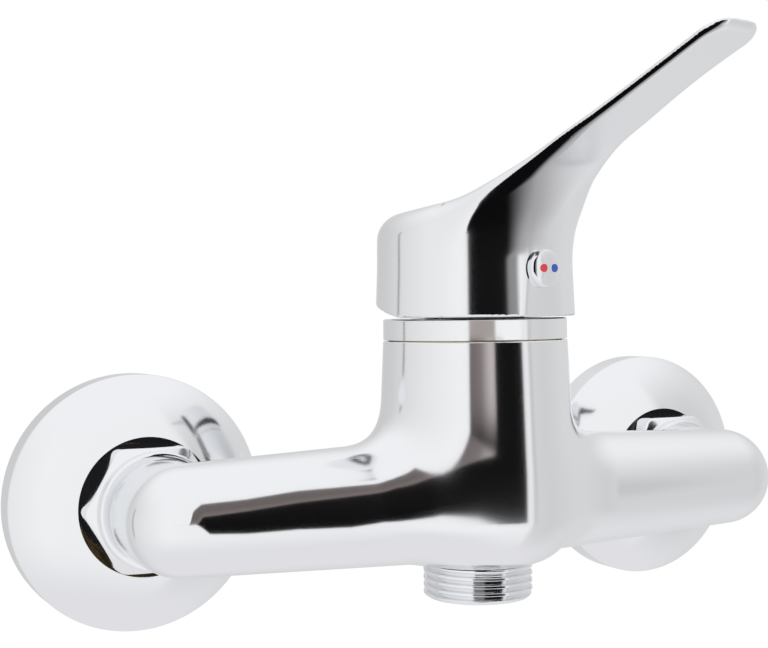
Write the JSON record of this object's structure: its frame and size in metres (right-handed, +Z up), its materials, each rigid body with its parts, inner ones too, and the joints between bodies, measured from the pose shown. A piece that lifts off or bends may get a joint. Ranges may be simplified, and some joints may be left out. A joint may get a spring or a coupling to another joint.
{
  "type": "shower mixer",
  "caption": "Wall-mounted single-lever shower mixer with twin round covers, a tapering bar body, a turning and lifting lever handle and a threaded hose outlet below.",
  "frame": {"origin": "midpoint between the two inlet axes, on the face of the wall", "axes": "+X to the right of a person facing the mixer, +Y into the wall, +Z up"},
  "size_m": [0.212, 0.1373, 0.1335],
  "materials": {
    "chrome": "mirror polished",
    "brass": "machined",
    "steel": "drawn",
    "rubber": "matt",
    "washer_rubber": "matt",
    "ceramic": "lapped",
    "housing_plastic": "moulded",
    "guide_plastic": "moulded",
    "hot_red": "gloss",
    "cold_blue": "gloss"
  },
  "bodies": {
    "mixer": {"body_casting": "chrome", "union_snap_rings": "steel", "left_wall_union": "brass", "left_union_nut": "chrome", "left_inlet_washer": "washer_rubber", "left_strainer": "steel", "left_escutcheon": "chrome", "right_wall_union": "brass", "right_union_nut": "chrome", "right_inlet_washer": "washer_rubber", "right_strainer": "steel", "right_escutcheon": "chrome", "cartridge_base": "housing_plastic", "base_seals": "rubber", "fixed_disc": "ceramic", "cartridge_housing": "housing_plastic", "retaining_nut": "brass", "trim_ring_seal": "rubber", "trim_ring": "chrome", "outlet_nipple": "chrome", "nipple_seal": "rubber", "check_valve_housing": "guide_plastic", "check_valve_spring": "steel", "check_valve_seal": "rubber"},
    "rotor": {"rotor": "housing_plastic", "lever_pin": "steel"},
    "carrier": {"disc_carrier": "guide_plastic", "moving_disc": "ceramic"},
    "lever": {"handle": "chrome", "spindle": "brass", "set_screw": "steel", "index_plug": "chrome", "hot_dot": "hot_red", "cold_dot": "cold_blue"},
    "poppet": {"check_valve_poppet": "guide_plastic"}
  },
  "joints": [
    {"name": "handle_swivel", "type": "hinge", "parent": "mixer", "child": "rotor", "pos_m": [0, -0.041, 0.044], "axis": [0, 0, 1], "range_deg": [-62, 38]},
    {"name": "handle_lift", "type": "hinge", "parent": "rotor", "child": "lever", "pos_m": [0, -0.041, 0.044], "axis": [-0.9781, -0.2079, 0], "range_deg": [0, 15]},
    {"name": "disc_slide", "type": "slide", "parent": "rotor", "child": "carrier", "axis": [0.2079, -0.9781, 0], "range_m": [0, 0.00506]},
    {"name": "check_valve_travel", "type": "slide", "parent": "mixer", "child": "poppet", "axis": [0, 0, -1], "range_m": [0, 0.0022], "stiffness_N_per_m": 60, "springref_m": -0.002, "deforming": ["check_valve_spring"]}
  ],
  "couplings": [
    {"joint": "disc_slide", "follows": "handle_lift", "m_per_rad": 0.0193}
  ]
}
